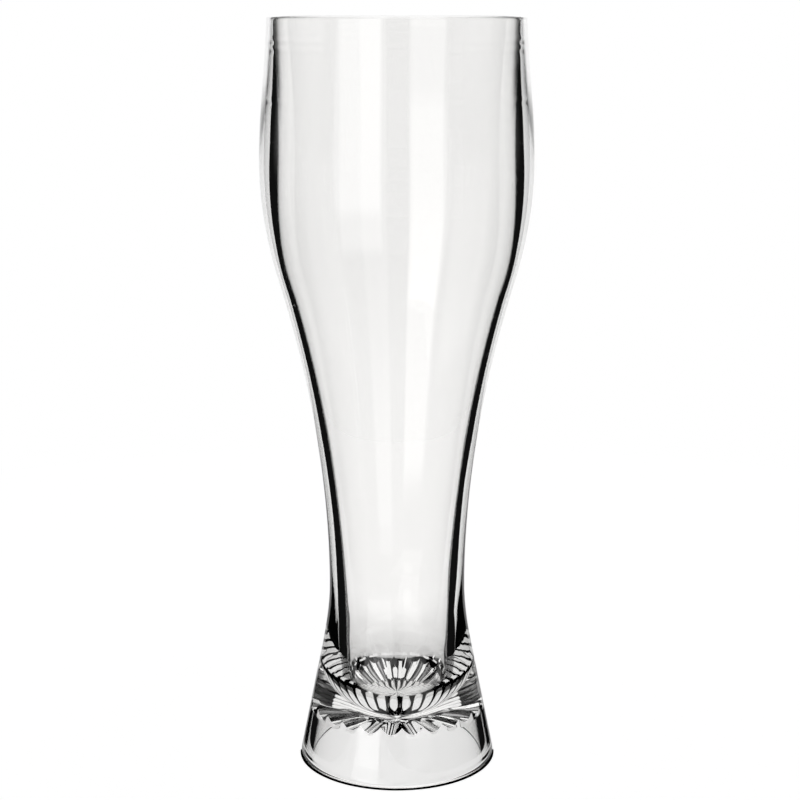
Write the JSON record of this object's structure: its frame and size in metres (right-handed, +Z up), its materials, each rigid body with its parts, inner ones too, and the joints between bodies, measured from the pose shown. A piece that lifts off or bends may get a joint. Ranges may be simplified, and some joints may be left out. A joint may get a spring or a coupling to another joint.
{
  "type": "wheat beer glass",
  "caption": "Tall clear plastic wheat-beer glass with a bellied mouth, a narrow waist, a ribbed underside and a hollow flared foot that it stands on.",
  "frame": {"origin": "centre of the ring that the glass stands on", "axes": "+Z up the axis of the glass, from the foot to the mouth; +X and +Y are free, as the glass is round"},
  "size_m": [0.0856, 0.0856, 0.24],
  "materials": {
    "clear_plastic": "clear, polished"
  },
  "bodies": {
    "root": {"vessel": "clear_plastic", "foot": "clear_plastic"}
  },
  "joints": []
}
